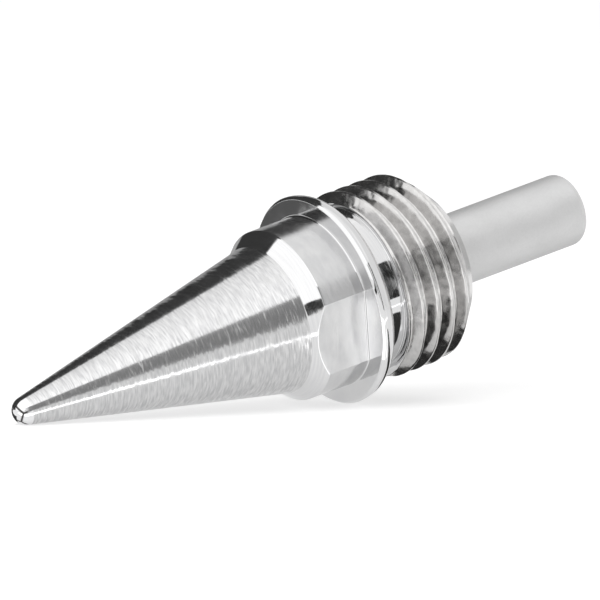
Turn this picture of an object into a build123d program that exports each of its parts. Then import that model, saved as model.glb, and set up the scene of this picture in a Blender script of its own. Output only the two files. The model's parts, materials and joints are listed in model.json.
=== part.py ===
from build123d import *
from math import asin, atan2, cos, degrees, hypot, radians, sin, tan
import os

# Gas soldering iron tip, turned from one copper bar: a long cone with a rounded nose, a collar with
# two wrench flats, a flange that seats on the burner tube, a fine right-hand thread behind its
# undercut neck, and the slim rod that carries the heat of the flame forward.
# Every length is in mm. The tip is drawn on its own axis, which is Z, with Z = 0 on the seating
# face of the flange and +Z towards the rod, and is then laid down as it rests on a bench.

# Working cone and nose
nose_radius = 0.6
cone_length = 12.65
cone_base_diameter = 6.2

# Collar with its two wrench flats
front_chamfer_length = 0.65
collar_diameter = 7.2
collar_length = 2.0
across_flats = 6.5
flats_angle = 112.8

# Flange, sharp in front but for a small break, and well rounded behind
flange_diameter = 8.8
flange_thickness = 0.9
flange_front_break = 0.1
flange_rear_radius = 0.75

# Undercut neck and M8 x 0.75 thread
neck_diameter = 6.7
neck_length = 0.95
thread_diameter = 7.98
thread_pitch = 0.75
thread_length = 3.75
rear_chamfer = 1.05

# Standard section of a metric thread, as shares of its pitch
flank_angle = 30.0
crest_flat_share = 0.125
thread_depth_share = 0.6134

# Heat rod
rod_diameter = 3.0
rod_length = 7.1
rod_edge_radius = 0.4

# How far the resting tip is turned about its own axis
roll_angle = 171.4

# Radii
cone_base_radius = cone_base_diameter / 2
collar_radius = collar_diameter / 2
flange_radius = flange_diameter / 2
neck_radius = neck_diameter / 2
crest_radius = thread_diameter / 2
rod_radius = rod_diameter / 2

# Stations along the axis
flange_front = -flange_thickness
rim_front = flange_front + flange_front_break
collar_front = flange_front - collar_length
cone_base = collar_front - front_chamfer_length
nose_end = cone_base - cone_length
nose_centre = nose_end + nose_radius
thread_front = neck_length
thread_rear = thread_front + thread_length
rod_end = thread_rear + rod_length
rod_edge = rod_end - rod_edge_radius

# Half angle of the cone that is tangent to the nose and reaches the cone's base
cone_run = cone_base - nose_centre
cone_angle = atan2(cone_base_radius, cone_run) - asin(nose_radius / hypot(cone_run, cone_base_radius))

# The V groove of the thread, cut a little past the crest. It starts in the middle of the neck and
# ends behind the rear chamfer, so that it runs in and out through open space.
flank_slope = tan(radians(flank_angle))
thread_depth = thread_depth_share * thread_pitch
root_radius = crest_radius - thread_depth
overcut = 0.05
overcut_radius = crest_radius + overcut
half_mouth = (1 - crest_flat_share) * thread_pitch / 2
half_root = half_mouth - thread_depth * flank_slope
half_overcut = half_mouth + overcut * flank_slope
groove_start = neck_length / 2
groove_end = thread_rear + thread_pitch / 2

with BuildPart() as thread_groove:
    with BuildLine() as groove_path:
        Helix(thread_pitch, groove_end - groove_start, root_radius, center=(0, 0, groove_start))
    with BuildSketch(Plane.XZ):
        with BuildLine():
            Polyline(
                (root_radius, groove_start - half_root),
                (overcut_radius, groove_start - half_overcut),
                (overcut_radius, groove_start + half_overcut),
                (root_radius, groove_start + half_root),
                close=True,
            )
        make_face()
    sweep(path=groove_path.wires()[0], is_frenet=True)

with BuildPart() as turned_tip:
    # Half section from the nose back to the end of the rod, as (radius, station)
    with BuildSketch(Plane.XZ):
        with BuildLine():
            CenterArc((0, nose_centre), nose_radius, -90, 90 - degrees(cone_angle))
            Polyline(
                (nose_radius * cos(cone_angle), nose_centre - nose_radius * sin(cone_angle)),
                (cone_base_radius, cone_base),
                (collar_radius, collar_front),
                (collar_radius, flange_front),
                (flange_radius - flange_front_break, flange_front),
                (flange_radius, rim_front),
                (flange_radius, -flange_rear_radius),
            )
            CenterArc((flange_radius - flange_rear_radius, -flange_rear_radius), flange_rear_radius, 0, 90)
            Polyline(
                (flange_radius - flange_rear_radius, 0),
                (neck_radius, 0),
                (neck_radius, thread_front),
                (crest_radius, thread_front),
                (crest_radius, thread_rear - rear_chamfer),
                (crest_radius - rear_chamfer, thread_rear),
                (rod_radius, thread_rear),
                (rod_radius, rod_edge),
            )
            CenterArc((rod_radius - rod_edge_radius, rod_edge), rod_edge_radius, 0, 90)
            Polyline((rod_radius - rod_edge_radius, rod_end), (0, rod_end), (0, nose_end))
        make_face()
    revolve(axis=Axis.Z)

    # Two opposite wrench flats, milled through the front chamfer up to the face of the flange
    with BuildSketch(Plane.XY.offset(cone_base)):
        Circle(flange_radius)
        Rectangle(across_flats, 2 * flange_diameter, rotation=flats_angle, mode=Mode.SUBTRACT)
    extrude(amount=flange_front - cone_base, mode=Mode.SUBTRACT)

    add(thread_groove.part, mode=Mode.SUBTRACT)

# On a bench the tip lies on its nose and on the front corner of the flange's rim
rest_run = rim_front - nose_centre
rest_tilt = atan2(flange_radius, rest_run) - asin(nose_radius / hypot(rest_run, flange_radius))
seat_height = nose_radius - nose_centre * sin(rest_tilt)

# The bench point under the middle of the laid tip is the origin
nose_reach = nose_centre * cos(rest_tilt) - nose_radius
rod_reach = rod_edge * cos(rest_tilt) + (rod_radius - rod_edge_radius) * sin(rest_tilt) + rod_edge_radius
seat_x = -(nose_reach + rod_reach) / 2

laid = Plane(
    origin=(seat_x, 0, seat_height),
    x_dir=(-sin(rest_tilt), 0, cos(rest_tilt)),
    z_dir=(cos(rest_tilt), 0, sin(rest_tilt)),
)

with BuildPart() as soldering_tip:
    with Locations(laid.location):
        add(turned_tip.part, rotation=(0, 0, roll_angle))

soldering_tip.part.label = "soldering_tip"
os.makedirs("parts", exist_ok=True)
export_step(soldering_tip.part, "parts/soldering_tip.step")
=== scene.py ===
import json
from math import acos, asin, atan2, cos, hypot, pi, radians, sin, tan

import bmesh
import bpy
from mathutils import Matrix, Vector, noise


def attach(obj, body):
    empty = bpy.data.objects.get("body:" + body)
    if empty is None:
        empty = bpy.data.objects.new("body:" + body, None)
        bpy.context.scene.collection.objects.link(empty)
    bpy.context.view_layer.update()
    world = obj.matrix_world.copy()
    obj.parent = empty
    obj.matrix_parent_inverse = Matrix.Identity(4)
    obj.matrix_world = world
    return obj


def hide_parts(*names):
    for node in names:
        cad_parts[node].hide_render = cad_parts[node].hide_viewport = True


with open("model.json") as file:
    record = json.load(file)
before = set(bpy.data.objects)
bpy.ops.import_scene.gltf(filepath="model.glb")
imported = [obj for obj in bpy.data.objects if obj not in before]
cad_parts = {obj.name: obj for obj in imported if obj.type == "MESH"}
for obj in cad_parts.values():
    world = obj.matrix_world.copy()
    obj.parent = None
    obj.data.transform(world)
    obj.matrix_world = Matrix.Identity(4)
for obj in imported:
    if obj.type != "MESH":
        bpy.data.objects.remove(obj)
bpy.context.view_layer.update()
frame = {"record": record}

# The turned blank
# The tip is turned from one bar of copper and plated as a whole. Its rings are listed from the nose
# back to the end of the rod, each at a radius and a station along the tip's own axis.
mm = 0.001
mounts = {mount["name"]: mount for mount in frame["record"]["mounts"]}
seat = Vector(mounts["seat"]["pos_m"])
tip_axis = Vector(mounts["seat"]["axis"]).normalized()
side_axis = Vector((0, -1, 0))
top_axis = side_axis.cross(tip_axis)
blank_roll = radians(171.4)
mesh = bpy.data.meshes.new("soldering_tip_dressed")
tip = bpy.data.objects.new("soldering_tip_dressed", mesh)
bpy.context.collection.objects.link(tip)

# The columns run round the tip. They are closer at the edges of the two wrench flats.
across_flats = 6.5 * mm
collar_radius = 3.6 * mm
flats_angle = radians(112.8)
flat_half_angle = acos(across_flats / 2 / collar_radius)
edge_steps = [radians(step) for step in (-0.5, -0.26, -0.13, 0, 0.13, 0.26, 0.5)]
flat_columns = 36
round_columns = 86


def spread(start, end, count):
    """The inner places of a run from start to end that is divided into equal steps."""
    return [start + (end - start) * step / count for step in range(1, count)]


half_turn = [-flat_half_angle + step for step in edge_steps]
half_turn += spread(half_turn[-1], flat_half_angle + edge_steps[0], flat_columns)
half_turn += [flat_half_angle + step for step in edge_steps]
half_turn += spread(half_turn[-1], pi - flat_half_angle + edge_steps[0], round_columns)
columns = [flats_angle + turn + angle for turn in (0, pi) for angle in half_turn]
columns.append(columns[0] + 2 * pi)

rings = []
finishes = []


def add_ring(finish, places):
    """A ring of (radius, station), one for each column. The finish is on the band in front of it."""
    rings.append(places)
    finishes.append(finish)


def turn(finish, outline):
    """Plain rings at each (radius, station) of an outline."""
    for radius, station in outline:
        add_ring(finish, [(radius, station)] * len(columns))


def broken_corner(before, corner, after, reach, steps=4):
    """A corner with its edge rounded off over reach on either side, and a ring just beside it."""
    before, corner, after = Vector(before), Vector(corner), Vector(after)
    start = corner + (before - corner).normalized() * reach
    end = corner + (after - corner).normalized() * reach
    outline = [corner + (start - corner) * 1.4]
    for step in range(steps + 1):
        t = step / steps
        outline.append(start * (1 - t) ** 2 + corner * 2 * t * (1 - t) + end * t ** 2)
    outline.append(corner + (end - corner) * 1.4)
    return [tuple(place) for place in outline]


# Nose
# The end of the cone is turned to a ball and tinned: solder is melted on and wiped off, which leaves
# a few rounded faces that meet in fine creases, coloured dark brown.
nose_radius = 0.6 * mm
nose_centre = -15.6 * mm
cone_base = -3.55 * mm
cone_base_radius = 3.1 * mm
tinned_length = 0.55 * mm
cone_run = cone_base - nose_centre
cone_angle = atan2(cone_base_radius, cone_run) - asin(nose_radius / hypot(cone_run, cone_base_radius))
solder_faces = [
    (cos(radians(lat)) * cos(radians(a)), cos(radians(lat)) * sin(radians(a)), sin(radians(lat)))
    for a, lat in ((-122, -32), (-55, -27), (-84, -74), (20, -38), (95, -30), (165, -36))
]
solder_face_shift = 0.03 * mm
crease_half_width = 0.1
crease_strength = 1.6
nose_rings = 34
fading_rings = 8


def linear(hex_colour):
    """An sRGB hex colour as linear RGBA."""
    parts = [int(hex_colour[i:i + 2], 16) / 255 for i in (1, 3, 5)]
    return [c / 12.92 if c <= 0.04045 else ((c + 0.055) / 1.055) ** 2.4 for c in parts] + [1]


def add_node(material, kind, inputs=(), **settings):
    """Adds a node with its settings, and sets or links its inputs by name or number."""
    node = material.node_tree.nodes.new(kind)
    for name, value in settings.items():
        setattr(node, name, value)
    for socket, value in dict(inputs).items():
        if isinstance(value, bpy.types.NodeSocket):
            material.node_tree.links.new(value, node.inputs[socket])
        else:
            node.inputs[socket].default_value = value
    return node


def new_finish(name):
    """A finish of the tip, as a material with no nodes yet."""
    material = bpy.data.materials.new(name)
    material.use_nodes = True
    material.node_tree.nodes.clear()
    mesh.materials.append(material)
    return material


def marks(material, length, width, **settings):
    """Noise in marks of a length in mm round the tip and a width in mm along it, mostly from 0 to 1."""
    turned = add_node(material, "ShaderNodeUVMap", uv_map="turning")
    parts = add_node(material, "ShaderNodeSeparateXYZ", {0: turned.outputs[0]})
    angle = add_node(material, "ShaderNodeMath", {0: parts.outputs["X"], 1: 2 * pi}, operation="MULTIPLY")
    cosine = add_node(material, "ShaderNodeMath", {0: angle.outputs[0]}, operation="COSINE")
    sine = add_node(material, "ShaderNodeMath", {0: angle.outputs[0]}, operation="SINE")
    ring = add_node(material, "ShaderNodeCombineXYZ", {0: cosine.outputs[0], 1: sine.outputs[0]})
    radius = add_node(material, "ShaderNodeAttribute", attribute_name="radius")
    out = add_node(material, "ShaderNodeVectorMath", {
        0: ring.outputs[0], "Scale": radius.outputs["Fac"]}, operation="SCALE")
    along = add_node(material, "ShaderNodeCombineXYZ", {2: parts.outputs["Y"]})
    place = add_node(material, "ShaderNodeVectorMath", {
        0: out.outputs[0], 1: along.outputs[0]}, operation="ADD")
    scaled = add_node(material, "ShaderNodeVectorMath", {
        0: place.outputs[0], 1: (1 / length, 1 / length, 1 / width)}, operation="MULTIPLY")
    inputs = {"Vector": scaled.outputs[0], "Scale": 1}
    inputs.update({name.capitalize(): value for name, value in settings.items()})
    noisy = add_node(material, "ShaderNodeTexNoise", inputs).outputs[0]
    spread_out = {"Value": noisy, "From Min": 0.3, "From Max": 0.7}
    return add_node(material, "ShaderNodeMapRange", spread_out, clamp=False).outputs[0]


# Solder tin: near mirror-bright, softly rippled where it set, dull and dark brown in the creases.
tin = new_finish("wiped_solder_tin")
crease = add_node(tin, "ShaderNodeAttribute", attribute_name="crease").outputs["Fac"]
tin_colour = add_node(tin, "ShaderNodeMix", {
    0: crease, 6: linear("#dededf"), 7: linear("#2c2a29")}, data_type="RGBA")
tin_dulling = add_node(tin, "ShaderNodeMapRange", {"Value": crease, "To Min": 0.07, "To Max": 0.4})
set_ripple = marks(tin, length=0.5, width=0.3, detail=1)
tin_ripple = add_node(tin, "ShaderNodeBump", {"Height": set_ripple, "Strength": 1, "Distance": 0.008 * mm})
tin_metal = add_node(tin, "ShaderNodeBsdfPrincipled", {
    "Base Color": tin_colour.outputs[2], "Metallic": 1, "Roughness": tin_dulling.outputs[0],
    "Normal": tin_ripple.outputs[0]})
add_node(tin, "ShaderNodeOutputMaterial", {0: tin_metal.outputs[0]})


def cone_radius(station):
    """The cone's radius at a station."""
    return cone_base_radius - (cone_base - station) * tan(cone_angle)


creases = {}
for step in range(nose_rings + 1):
    latitude = -pi / 2 + (pi / 2 - cone_angle) * step / nose_rings
    reach = min(1, (nose_rings - step) / fading_rings)
    ring = []
    for column, angle in enumerate(columns):
        way = Vector((cos(latitude) * cos(angle), cos(latitude) * sin(angle), sin(latitude)))
        nearest = sorted((way.dot(face), face) for face in solder_faces)[-2:]
        gap = (nearest[1][0] - nearest[0][0]) / (Vector(nearest[1][1]) - Vector(nearest[0][1])).length
        depth = min(1, crease_strength * max(0, 1 - gap / crease_half_width))
        creases[len(rings), column] = depth * reach
        radius = nose_radius - solder_face_shift * (1 - nearest[1][0]) * reach
        ring.append((radius * cos(latitude), nose_centre + radius * sin(latitude)))
    add_ring(tin, ring)
tinned_end = nose_centre - nose_radius + tinned_length
turn(tin, [(cone_radius(tinned_end), tinned_end)])

# Cone
# The long working cone, iron-plated and ground round and round with a fine wheel, then nickelled.
# The short grinding marks lie across it and throw the light along it.
cone_rings = 24
base_margin = 0.1 * mm
greatest_tilt = 0.25

# Ground nickel: the fine marks run round the cone and tip its surface forwards and back, so its
# bands of light stay sharp across the cone and break into short bright and dark streaks along it.
# Real marks are taken to be 0.02 mm wide. They are drawn 0.075 mm wide, or they would not show.
ground = new_finish("ground_nickel")
fine_marks = marks(ground, length=0.5, width=0.075, detail=1, roughness=0.5)
broad_marks = marks(ground, length=0.9, width=0.2, detail=1)
wander = marks(ground, length=0.4, width=0.1, detail=1)
both_marks = add_node(ground, "ShaderNodeMath", {0: fine_marks, 1: broad_marks}, operation="ADD")
tilt = add_node(ground, "ShaderNodeMapRange", {
    "Value": both_marks.outputs[0], "From Max": 2, "To Min": -greatest_tilt, "To Max": greatest_tilt})
round_way = add_node(ground, "ShaderNodeTangent", direction_type="UV_MAP", uv_map="turning").outputs[0]
face_way = add_node(ground, "ShaderNodeBump", {"Height": wander, "Strength": 1, "Distance": 0.0005 * mm})
axial = add_node(ground, "ShaderNodeVectorMath", {
    0: face_way.outputs[0], 1: round_way}, operation="CROSS_PRODUCT")
lean = add_node(ground, "ShaderNodeVectorMath", {
    0: axial.outputs[0], "Scale": tilt.outputs[0]}, operation="SCALE")
leaned = add_node(ground, "ShaderNodeVectorMath", {
    0: face_way.outputs[0], 1: lean.outputs[0]}, operation="ADD")
ground_way = add_node(ground, "ShaderNodeVectorMath", {0: leaned.outputs[0]}, operation="NORMALIZE")
ground_colour = add_node(ground, "ShaderNodeMix", {
    0: fine_marks, 6: linear("#b3b3b4"), 7: linear("#cccccc")}, data_type="RGBA")
ground_dulling = add_node(ground, "ShaderNodeMapRange", {
    "Value": broad_marks, "To Min": 0.16, "To Max": 0.25})
ground_metal = add_node(ground, "ShaderNodeBsdfPrincipled", {
    "Base Color": ground_colour.outputs[2], "Metallic": 1, "Roughness": ground_dulling.outputs[0],
    "Anisotropic": 0.75, "Anisotropic Rotation": 0.25, "Tangent": round_way,
    "Normal": ground_way.outputs[0]})
add_node(ground, "ShaderNodeOutputMaterial", {0: ground_metal.outputs[0]})

cone_stations = spread(tinned_end, cone_base - base_margin, cone_rings)
turn(ground, [(cone_radius(station), station) for station in cone_stations])

# Chamfer and collar
# The collar behind the cone is faced with a steep chamfer and has two milled flats for a spanner.
# Polished and plated, with its edges just broken.
collar_front = -2.9 * mm
flange_front = -0.9 * mm
edge_break = 0.03 * mm
flat_edge_blend = 0.008 * mm
corner_fillet = 0.06 * mm
flange_inner_radius = 4 * mm
chamfer_lead = 0.05 * mm
wall_parts = 10
chamfer_slope = (collar_radius - cone_base_radius) / (collar_front - cone_base)


def smooth_min(a, b, blend):
    """The smaller of two lengths, rounded off over blend where they are nearly equal."""
    overlap = max(blend - abs(a - b), 0) / blend
    return min(a, b) - overlap ** 2 * blend / 4


def collar_section(angle):
    """The collar's radius at an angle: round, or cut back by a flat."""
    from_flat = abs((angle - flats_angle + pi / 2) % pi - pi / 2)
    return smooth_min(collar_radius, across_flats / 2 / cos(from_flat), flat_edge_blend)


# Bright nickel: clear, hard reflections that waver a little, with the faintest lines of the cut in
# them. Real lines are taken to be 0.01 mm wide and are drawn 0.05 mm wide, so that they show.
polished = new_finish("bright_nickel")
soft_wave = marks(polished, length=0.5, width=0.4, detail=1)
polish_lines = marks(polished, length=1.5, width=0.05, detail=2)
waved = add_node(polished, "ShaderNodeBump", {"Height": soft_wave, "Strength": 1, "Distance": 0.0016 * mm})
lined = add_node(polished, "ShaderNodeBump", {
    "Height": polish_lines, "Strength": 1, "Distance": 0.00028 * mm, "Normal": waved.outputs[0]})
polished_colour = add_node(polished, "ShaderNodeMix", {
    0: polish_lines, 6: linear("#d0d0d1"), 7: linear("#d8d8d8")}, data_type="RGBA")
polished_dulling = add_node(polished, "ShaderNodeMapRange", {
    "Value": soft_wave, "To Min": 0.04, "To Max": 0.1})
polished_metal = add_node(polished, "ShaderNodeBsdfPrincipled", {
    "Base Color": polished_colour.outputs[2], "Metallic": 1, "Roughness": polished_dulling.outputs[0],
    "Normal": lined.outputs[0]})
add_node(polished, "ShaderNodeOutputMaterial", {0: polished_metal.outputs[0]})

# Brushed nickel: the wall and flats are a shade greyer, with soft reflections and cloudy smears. The
# real scratches are taken to be 0.02 mm wide and are drawn 0.05 mm wide, so that they show.
brushed = new_finish("brushed_nickel")
smear = marks(brushed, length=0.9, width=0.35, detail=3)
brush_lines = marks(brushed, length=1.2, width=0.05, detail=2)
smeared = add_node(brushed, "ShaderNodeBump", {"Height": smear, "Strength": 1, "Distance": 0.0016 * mm})
scratched = add_node(brushed, "ShaderNodeBump", {
    "Height": brush_lines, "Strength": 1, "Distance": 0.00048 * mm, "Normal": smeared.outputs[0]})
brushed_colour = add_node(brushed, "ShaderNodeMix", {
    0: smear, 6: linear("#bebebf"), 7: linear("#c9c9c9")}, data_type="RGBA")
brushed_dulling = add_node(brushed, "ShaderNodeMapRange", {
    "Value": smear, "To Min": 0.16, "To Max": 0.24})
brushed_metal = add_node(brushed, "ShaderNodeBsdfPrincipled", {
    "Base Color": brushed_colour.outputs[2], "Metallic": 1, "Roughness": brushed_dulling.outputs[0],
    "Normal": scratched.outputs[0]})
add_node(brushed, "ShaderNodeOutputMaterial", {0: brushed_metal.outputs[0]})

base_edge = broken_corner(
    (cone_radius(nose_centre), nose_centre), (cone_base_radius, cone_base), (collar_radius, collar_front),
    edge_break)
turn(ground, base_edge[:4])
turn(polished, base_edge[4:])

collar_columns = []
for angle in columns:
    radius = collar_section(angle)
    chamfer_end = (radius, cone_base + (radius - cone_base_radius) / chamfer_slope)
    wall_end = (radius, flange_front)
    front = broken_corner((cone_base_radius, cone_base), chamfer_end, wall_end, edge_break)
    back = broken_corner(chamfer_end, wall_end, (flange_inner_radius, flange_front), corner_fillet)
    start = (cone_base_radius + chamfer_slope * chamfer_lead, cone_base + chamfer_lead)
    chamfer = [
        (start[0] + (front[0][0] - start[0]) * share, start[1] + (front[0][1] - start[1]) * share)
        for share in (0.3, 0.6, 0.85)
    ]
    wall = [(radius, station) for station in spread(front[-1][1], back[0][1], wall_parts)]
    collar_columns.append(chamfer + front + wall + back)
chamfer_rings = len(chamfer) + len(front) - 1
wall_rings = chamfer_rings + len(wall) + 2
for number, places in enumerate(zip(*collar_columns)):
    add_ring(brushed if chamfer_rings < number < wall_rings else polished, list(places))

# Flange
# The flange stops the tip against the burner tube. Its front edge is just broken and its back is
# turned to a large radius, down to the narrow ring that seats.
flange_radius = 4.4 * mm
front_break = 0.1 * mm
rear_radius = 0.75 * mm
rim_edge_break = 0.02 * mm
face_start = 3.72 * mm
rear_rings = 18
seat_ring_radius = flange_radius - rear_radius
turn(polished, [(radius, flange_front) for radius in spread(face_start, flange_radius - front_break, 5)])
break_start = (flange_radius - front_break, flange_front)
break_end = (flange_radius, flange_front + front_break)
turn(polished, broken_corner((collar_radius, flange_front), break_start, break_end, rim_edge_break, 2))
turn(polished, broken_corner(break_start, break_end, (flange_radius, 0), rim_edge_break, 2)[1:])
for step in range(rear_rings + 1):
    bend = pi / 2 * step / rear_rings
    turn(polished, [(seat_ring_radius + rear_radius * cos(bend), rear_radius * (sin(bend) - 1))])

# Neck and thread
# Behind the flange an undercut neck lets the thread run out. The thread is a fine right-hand one with
# 60 degree flanks, chamfered where it ends, and plated over with its tool marks still showing.
neck_radius = 3.35 * mm
thread_front = 0.95 * mm
thread_rear = 4.7 * mm
crest_radius = 3.99 * mm
rear_chamfer = 1.05 * mm
pitch = 0.75 * mm
thread_depth = 0.6134 * pitch
crest_flat_share = 0.125
half_mouth = (1 - crest_flat_share) * pitch / 2
flank_slope = tan(radians(30))
crest_blend = 0.025 * mm
neck_fillet = 0.04 * mm
thread_waver = 0.012 * mm
waver_length = 0.22 * mm
start_break = 0.02 * mm
groove_start = thread_front / 2
root_radius = crest_radius - thread_depth
chamfer_foot = thread_rear - (root_radius - (crest_radius - rear_chamfer)) + 0.05 * mm


def thread_radius(angle, station):
    """The thread's radius at a place, with a rounded root and crests, cut down by the rear chamfer."""
    ring_place = Vector((cos(angle) * crest_radius, sin(angle) * crest_radius, station)) / waver_length
    station += noise.noise(ring_place) * thread_waver
    from_groove = (station - groove_start - pitch * angle / (2 * pi) + pitch / 2) % pitch - pitch / 2
    flank = crest_radius - (half_mouth - abs(from_groove)) / flank_slope
    section = -smooth_min(-root_radius, -smooth_min(flank, crest_radius, crest_blend), crest_blend)
    return smooth_min(section, crest_radius + thread_rear - rear_chamfer - station, crest_blend)


# Cut nickel: darker and warmer than the turned faces, blotched where the cut tore under the plating.
# Real tool lines are taken to be 0.02 mm wide and are drawn 0.04 mm wide, so that they show.
cut = new_finish("thread_cut_nickel")
tool_lines = marks(cut, length=1.2, width=0.04, detail=2)
blotches = marks(cut, length=0.35, width=0.2, detail=3, roughness=0.5)
torn = add_node(cut, "ShaderNodeBump", {"Height": blotches, "Strength": 1, "Distance": 0.0018 * mm})
tooled = add_node(cut, "ShaderNodeBump", {
    "Height": tool_lines, "Strength": 1, "Distance": 0.00024 * mm, "Normal": torn.outputs[0]})
cut_colour = add_node(cut, "ShaderNodeMix", {
    0: blotches, 6: linear("#b8b7b6"), 7: linear("#cccbca")}, data_type="RGBA")
cut_dulling = add_node(cut, "ShaderNodeMapRange", {"Value": blotches, "To Min": 0.1, "To Max": 0.24})
cut_metal = add_node(cut, "ShaderNodeBsdfPrincipled", {
    "Base Color": cut_colour.outputs[2], "Metallic": 1, "Roughness": cut_dulling.outputs[0],
    "Normal": tooled.outputs[0]})
add_node(cut, "ShaderNodeOutputMaterial", {0: cut_metal.outputs[0]})

turn(polished, broken_corner(
    (seat_ring_radius, 0), (neck_radius, 0), (neck_radius, thread_front), neck_fillet))
turn(polished, [(neck_radius, station) for station in spread(0.1 * mm, thread_front - 0.1 * mm, 4)])
turn(polished, broken_corner(
    (neck_radius, 0), (neck_radius, thread_front), (crest_radius, thread_front), neck_fillet))
wall_outer = [(thread_radius(a, thread_front + start_break) - start_break, thread_front) for a in columns]
add_ring(polished, wall_outer)

# The rows follow the thread. Their places in mm from the middle of the groove are closest at its crests.
row_places = [0.03, 0.062, 0.085, 0.12, 0.18, 0.24, 0.28, 0.3, 0.315, 0.33, 0.345, 0.36]
row_places = [-place for place in reversed(row_places)] + [0] + row_places + [0.375]
turns_before = int(-thread_front / pitch) - 2
turns_after = int(thread_rear / pitch) + 1
for thread_turn in range(turns_before, turns_after):
    for place in row_places:
        helix = [groove_start + pitch * (thread_turn + angle / (2 * pi)) + place * mm for angle in columns]
        stations = [min(max(station, thread_front + start_break), chamfer_foot) for station in helix]
        add_ring(cut, [(thread_radius(a, s), s) for a, s in zip(columns, stations)])

# Heat rod
# The slim rod stands in the burner's flame and carries its heat forward. Finely turned and plated
# satin, with a rounded end.
rod_radius = mounts["heat_rod"]["dims"]["r_mm"] * mm
rod_end = 11.8 * mm
rod_edge_radius = 0.4 * mm
rod_foot_fillet = 0.05 * mm
rear_edge_break = 0.04 * mm
edge_rings = 8

# Satin nickel: pale and even like frosted metal, with a fine grain and no sharp reflections. The
# real grain is taken to be 0.03 mm and is drawn at 0.1 mm, so that it shows.
satin = new_finish("satin_nickel")
grain = marks(satin, length=0.1, width=0.1, detail=3, roughness=0.6)
faint_clouds = marks(satin, length=0.8, width=1.6, detail=2)
grained = add_node(satin, "ShaderNodeBump", {"Height": grain, "Strength": 1, "Distance": 0.0012 * mm})
satin_colour = add_node(satin, "ShaderNodeMix", {
    0: faint_clouds, 6: linear("#cacaca"), 7: linear("#d0d0d0")}, data_type="RGBA")
satin_dulling = add_node(satin, "ShaderNodeMapRange", {"Value": grain, "To Min": 0.56, "To Max": 0.66})
satin_metal = add_node(satin, "ShaderNodeBsdfPrincipled", {
    "Base Color": satin_colour.outputs[2], "Metallic": 1, "Roughness": satin_dulling.outputs[0],
    "Normal": grained.outputs[0]})
add_node(satin, "ShaderNodeOutputMaterial", {0: satin_metal.outputs[0]})

chamfer_foot_radius = crest_radius + thread_rear - rear_chamfer - chamfer_foot
rear_edge = (crest_radius - rear_chamfer, thread_rear)
turn(cut, broken_corner(
    (chamfer_foot_radius, chamfer_foot), rear_edge, (rod_radius, thread_rear), rear_edge_break))
turn(satin, [(radius, thread_rear) for radius in spread(rear_edge[0], rod_radius, 4)])
turn(satin, broken_corner(rear_edge, (rod_radius, thread_rear), (rod_radius, rod_end), rod_foot_fillet))
rod_edge = rod_end - rod_edge_radius
turn(satin, [(rod_radius, station) for station in spread(thread_rear + 0.2 * mm, rod_edge, 12)])
for step in range(edge_rings + 1):
    bend = pi / 2 * step / edge_rings
    radius = rod_radius - rod_edge_radius * (1 - cos(bend))
    turn(satin, [(radius, rod_edge + rod_edge_radius * sin(bend))])
turn(satin, [(radius, rod_end) for radius in (0.8 * mm, 0.4 * mm, 0)])

# The whole tip in one mesh
# The rings are laid at rest on the seat's place and the tip's axis. The seam column and the rows of
# the thread that run out at its ends fall on their neighbours and are merged with them.
shape = bmesh.new()
turning = shape.loops.layers.uv.new("turning")
radius_read = shape.verts.layers.float.new("radius")
crease_read = shape.verts.layers.float.new("crease")
merge_distance = 2e-8


def lay(angle, radius, station):
    """A point of the tip as it lies at rest."""
    rolled = angle + blank_roll
    across = top_axis * cos(rolled) + side_axis * sin(rolled)
    return seat + tip_axis * station + across * radius


grid = [
    [shape.verts.new(lay(angle, *place)) for angle, place in zip(columns, places)]
    for places in rings
]
for row, places in enumerate(rings):
    for column, (radius, station) in enumerate(places):
        grid[row][column][radius_read] = radius / mm
        grid[row][column][crease_read] = creases.get((row, column), 0)
for row in range(1, len(grid)):
    index = mesh.materials.find(finishes[row].name)
    for column in range(1, len(columns)):
        corners = [(row - 1, column - 1), (row - 1, column), (row, column), (row, column - 1)]
        face = shape.faces.new([grid[i][j] for i, j in corners])
        face.material_index = index
        face.smooth = True
        for loop, (i, j) in zip(face.loops, corners):
            loop[turning].uv = (columns[j] / (2 * pi), rings[i][j][1] / mm)
bmesh.ops.remove_doubles(shape, verts=shape.verts, dist=merge_distance)
bmesh.ops.dissolve_degenerate(shape, dist=merge_distance, edges=shape.edges)
bmesh.ops.recalc_face_normals(shape, faces=shape.faces)
shape.to_mesh(mesh)
shape.free()

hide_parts("soldering_tip")
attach(tip, "root")

# Studio
# A pale paper floor and a softbox, and a tent of bright boards and dark cards that only reflections
# see. They are placed for this camera and their shades set one by one, so that the bright metal
# mirrors light and dark there as in the photo. Some are brighter than white.
floor_radius = 0.4
floor_lift = 0.6
world_light = 0.65
floor_mesh = bpy.data.meshes.new("floor")
floor_shape = bmesh.new()
bmesh.ops.create_circle(floor_shape, cap_ends=True, segments=64, radius=floor_radius)
floor_shape.to_mesh(floor_mesh)
floor_shape.free()
floor = bpy.data.objects.new("floor", floor_mesh)
bpy.context.collection.objects.link(floor)


def seen_ray(material):
    """1 for rays that the camera, a reflection or a transmission sends out, 0 for light on a surface."""
    path = add_node(material, "ShaderNodeLightPath")
    direct = {0: path.outputs["Is Camera Ray"], 1: path.outputs["Is Glossy Ray"]}
    mirror = add_node(material, "ShaderNodeMath", direct, operation="MAXIMUM")
    through = {0: mirror.outputs[0], 1: path.outputs["Is Transmission Ray"]}
    return add_node(material, "ShaderNodeMath", through, operation="MAXIMUM").outputs[0]


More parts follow.
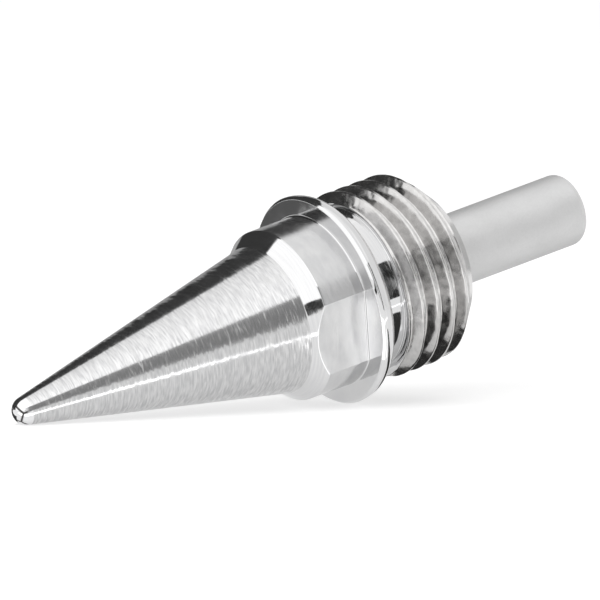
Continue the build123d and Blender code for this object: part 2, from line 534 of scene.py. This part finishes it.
paper = bpy.data.materials.new("floor_paper")
paper.use_nodes = True
paper.node_tree.nodes.clear()
floor_mesh.materials.append(paper)
diffuse = add_node(paper, "ShaderNodeBsdfDiffuse", {"Color": linear("#c4c4c4")})
lift = add_node(paper, "ShaderNodeMath", {0: seen_ray(paper), 1: floor_lift}, operation="MULTIPLY")
glow = add_node(paper, "ShaderNodeEmission", {"Strength": lift.outputs[0]})
both = add_node(paper, "ShaderNodeAddShader", {0: diffuse.outputs[0], 1: glow.outputs[0]})
add_node(paper, "ShaderNodeOutputMaterial", {"Surface": both.outputs[0]})

world = bpy.data.worlds.new("studio")
bpy.context.scene.world = world
world.use_nodes = True
world.node_tree.nodes.clear()
world.cycles.sampling_method = "NONE"
world_level = add_node(world, "ShaderNodeMapRange", {
    "Value": seen_ray(world), "To Min": world_light, "To Max": 1})
backdrop = add_node(world, "ShaderNodeBackground", {
    "Color": linear("#ffffff"), "Strength": world_level.outputs[0]})
add_node(world, "ShaderNodeOutputWorld", {"Surface": backdrop.outputs["Background"]})


def direction(azimuth, elevation):
    """The way from the tip to a place in the tent. Azimuth 0 is the side of -Y and 90 that of +X."""
    a, e = radians(azimuth), radians(elevation)
    return Vector((sin(a) * cos(e), -cos(a) * cos(e), sin(e)))


key_way = direction(300, 50)
key_size, key_distance, key_radiance = 0.3, 0.3, 1.6
key_lamp = bpy.data.lights.new("key_softbox", "AREA")
key_lamp.size = key_size
key_lamp.energy = key_radiance * pi * key_size ** 2
key = bpy.data.objects.new("key_softbox", key_lamp)
bpy.context.collection.objects.link(key)
key.location = key_way * key_distance
key.rotation_mode = "QUATERNION"
key.rotation_quaternion = (-key_way).to_track_quat("-Z", "Y")
key.visible_camera = key.visible_glossy = False


def panel(name, rows):
    """A board of rows of (place, brightness), which only reflections see."""
    across = len(rows[0])
    panel_mesh = bpy.data.meshes.new(name)
    panel_mesh.from_pydata([place for row in rows for place, _ in row], [], [
        (i * across + j, i * across + j + 1, (i + 1) * across + j + 1, (i + 1) * across + j)
        for i in range(len(rows) - 1) for j in range(across - 1)
    ])
    shades = panel_mesh.attributes.new("shade", "FLOAT", "POINT")
    shades.data.foreach_set("value", [brightness for row in rows for _, brightness in row])
    board = bpy.data.objects.new(name, panel_mesh)
    bpy.context.collection.objects.link(board)
    felt = bpy.data.materials.new(name + "_cloth")
    felt.use_nodes = True
    felt.node_tree.nodes.clear()
    shade_read = add_node(felt, "ShaderNodeAttribute", attribute_name="shade")
    dim = add_node(felt, "ShaderNodeEmission", {"Strength": shade_read.outputs["Fac"]})
    add_node(felt, "ShaderNodeOutputMaterial", {"Surface": dim.outputs[0]})
    panel_mesh.materials.append(felt)
    board.visible_camera = board.visible_diffuse = board.visible_shadow = board.visible_transmission = False


def card(name, brightness, corners, soft, surround=1):
    """A flat card that fades to the brightness of its surround over the soft share of its width."""
    closed = [Vector(corner) for corner in corners + corners[:1]]
    middle = sum(closed[:-1], Vector()) / len(corners)
    panel(name, [
        [(corner, surround) for corner in closed],
        [(corner.lerp(middle, soft), brightness) for corner in closed],
        [(middle, brightness) for corner in closed],
    ])


# The ways in which the photo looks: towards the camera, and square to the tip's axis up and nearer.
view_azimuth, view_elevation = -34.305, 5.559
towards = direction(view_azimuth, view_elevation)
upper_way = tip_axis.cross(towards).normalized()
upper_way = upper_way if upper_way.z > 0 else -upper_way
facing_way = upper_way.cross(tip_axis)
facing_way = facing_way if facing_way.dot(towards) > 0 else -facing_way
fill_distance = 0.31
tent_distance = 0.34
card_distance = 0.3
key_side = key_way.orthogonal().normalized()
key_top = key_way.cross(key_side)
# The bright top of the tent round the softbox's way, brighter than the white around it.
tent_steps = 72
tent_rows = []
for reach, brightness in ((0, 1.5), (20, 1.5), (40, 1.5), (60, 1.5), (66, 1.3), (74, 1)):
    tent_row = []
    for step in range(tent_steps + 1):
        swing = 2 * pi * step / tent_steps
        outwards = key_side * cos(swing) + key_top * sin(swing)
        way = key_way * cos(radians(reach)) + outwards * sin(radians(reach))
        tent_row.append((way * tent_distance, brightness))
    tent_rows.append(tent_row)
panel("tent_top", tent_rows)
# Black cloth on the far side: the dark band along the upper edge of cone, collar and thread.
card("far_card", 0.05, [direction(*corner) * card_distance for corner in (
    (140, 22), (138, 30), (140, 48), (146, 58), (160, 66), (180, 70), (202, 69), (219, 63), (229, 54),
    (232, 45), (233, 20), (232, -5), (168, -5), (167, 8), (164, 18), (159, 21), (150, 20))], 0.07)
# A graded white board where the cone's white band is mirrored, one row for each turn of the cone.
fill_rows = []
for turned, brightness in (
        (8, 1.85), (16, 1.75), (24, 1.65), (32, 1.55), (40, 1.45), (48, 1.3), (51, 1.2)):
    out = facing_way * cos(radians(turned)) + upper_way * sin(radians(turned))
    facing = out * cos(cone_angle) - tip_axis * sin(cone_angle)
    mirrored = facing * 2 * facing.dot(towards) - towards
    aside = (tip_axis - mirrored * mirrored.dot(tip_axis)).normalized()
    fill_rows.append([
        ((mirrored * cos(radians(swing)) + aside * sin(radians(swing))) * fill_distance, shade)
        for swing, shade in (
            (-26, 1.4), (-16, brightness), (0, brightness), (9, brightness), (18, 1.2), (32, 1.1))
    ])
panel("cone_fill", fill_rows)
# Grey cloth on the near side, down to the horizon: the dark band of the cone under the white one.
panel("near_card", [
    [(direction(azimuth, top - below) * card_distance, shade if below else 1) for azimuth, top, shade in (
        (318, 20, 1), (330, 25, 0.8), (342, 29, 0.5), (352, 32, 0.33), (4, 34, 0.3), (14, 35, 0.3),
        (22, 36, 0.38), (26, 36, 0.5), (27, 36, 1))]
    for below in (0, 1.5, 16, 39)
])
# Grey card low on the far side: the paler line at the very edge over the dark band.
card("rim_card", 0.45, [direction(*corner) * card_distance for corner in (
    (136, -5), (136, 21), (166, 21), (168, -5))], 0.05, 0.45)
# A small black card in front and a strip of floor below it: the dark notch in the front chamfer.
card("gap_card", 0.05, [direction(*corner) * card_distance for corner in (
    (311, -2), (311, 4), (320, 4), (320, -2))], 0.15)
card("gap_floor_card", 0.05, [Vector((x, y, 0.05)) * mm for x, y in (
    (-16.3, -14.7), (-223, -200), (-193, -230), (-14.1, -16.9))], 0.02)
# Dark floor on the far side: the upper part of the flange's front face.
card("far_floor_card", 0.12, [Vector((x, y, 0.05)) * mm for x, y in (
    (-16, 15.8), (4.8, 15.8), (90, 290), (-60, 290))], 0.02)
# A dark card on the floor by the nose, a painted contact shadow: the edges of its solder faces.
card("nose_shadow_card", 0.06, [Vector((x, y, 0.05)) * mm for x, y in (
    (-14.1, 0.2), (-12.9, 0.2), (-11.5, 3), (-10.5, 15.8), (-16, 15.8), (-14.9, 5))], 0)
# A dark card on the floor under the neck, a painted shadow, and pale grey floor under the rod: their
# lower sides.
card("neck_shadow_card", 0.04, [Vector((x, y, 0.06)) * mm for x, y in (
    (3.8, -1.5), (3.9, 0.6), (5.4, 1.2), (6.7, -0.5), (6.8, -3.5), (7.6, -6), (9.4, -10), (7.7, -9.6),
    (5.2, -4.6), (4.6, -2.6))], 0.04)
card("rod_floor_card", 0.6, [Vector((x, y, 0.05)) * mm for x, y in (
    (13.5, -0.5), (13.5, 14), (30, 30), (44, 12), (22, -1))], 0.15)
# A black upright strip: the dark block in the middle of the neck.
panel("neck_flag", [
    [(Vector(place) * mm, 0.03) for place in pair] for pair in (
        ((10.98, -16.34, 2.28), (12.18, -16.34, 2.58)),
        ((10.07, -16.97, 5.84), (11.27, -16.97, 6.15)),
        ((9.15, -16.74, 9.46), (10.35, -16.74, 9.76)),
        ((8.26, -15.66, 12.93), (9.46, -15.66, 13.23)),
        ((7.62, -14.25, 15.43), (8.82, -14.25, 15.74)),
    )
])
# Bright floor: the rear half of the wrench flat.
panel("flat_fill_card", [
    [(Vector((x, y, 0.06)) * mm, brightness) for x, y, brightness in row] for row in (
        ((2.6, -4.6, 1), (3.7, -4.4, 1.7), (4.4, -4.5, 1.7)),
        ((6, -10, 1), (7, -9.8, 1.7), (7.8, -10.2, 1.7)))
])
# A small bright board held before the flange: the bright foot of the collar and the flange's face.
panel("flange_fill_card", [
    [(Vector((x + aside * 0.4, y - aside * 0.29, z)) * mm, 2.6 - abs(aside) * 0.8)
     for aside in (-1.7, -1, 0, 1)]
    for x, y, z in (
        (1.03, -4, 0.45), (0.9, -4.17, 0.5), (0.38, -4.82, 1.25), (-0.15, -5.37, 2), (-0.25, -5.5, 2.2))
])
# A bright strip of floor on the near side: the cone's thin line.
line_edges = (
    ((-15.5, -0.3), (-11.55, -2.75), (-9.2, -4.35), (-4.6, -7.4), (0.2, -10.6), (12.6, -15.8),
     (21.8, -18.5)),
    ((-15.5, 0.3), (-11.7, -2), (-9.4, -3.35), (-4.85, -6.1), (0.1, -9.5), (11.8, -14.2), (20.6, -16.4)),
)
line_shades = (3, 3, 3.3, 3.2, 2.5, 2, 2)
panel("line_card", [
    [(Vector((x, y, 0.055)) * mm, brightness) for (x, y), brightness in zip(edge, line_shades)]
    for edge in line_edges
])
# The camera looks from the photo's side and frames the tip as the photo does.
camera_distance = 1
frame_width = 24.32 * mm
seat_right, seat_up = 1.4795 * mm, 0.2374 * mm
sensor_width = 36
camera_data = bpy.data.cameras.new("camera")
camera = bpy.data.objects.new("camera", camera_data)
bpy.context.collection.objects.link(camera)
bpy.context.scene.camera = camera
camera_data.sensor_width = sensor_width
camera_data.lens = sensor_width * camera_distance / frame_width
camera_data.clip_start, camera_data.clip_end = 0.1, 10
camera.rotation_mode = "QUATERNION"
camera.rotation_quaternion = (-towards).to_track_quat("-Z", "Y")
right = camera.rotation_quaternion @ Vector((1, 0, 0))
up = camera.rotation_quaternion @ Vector((0, 1, 0))
camera.location = seat - right * seat_right - up * seat_up + towards * camera_distance

bpy.context.scene.view_settings.view_transform = "Standard"
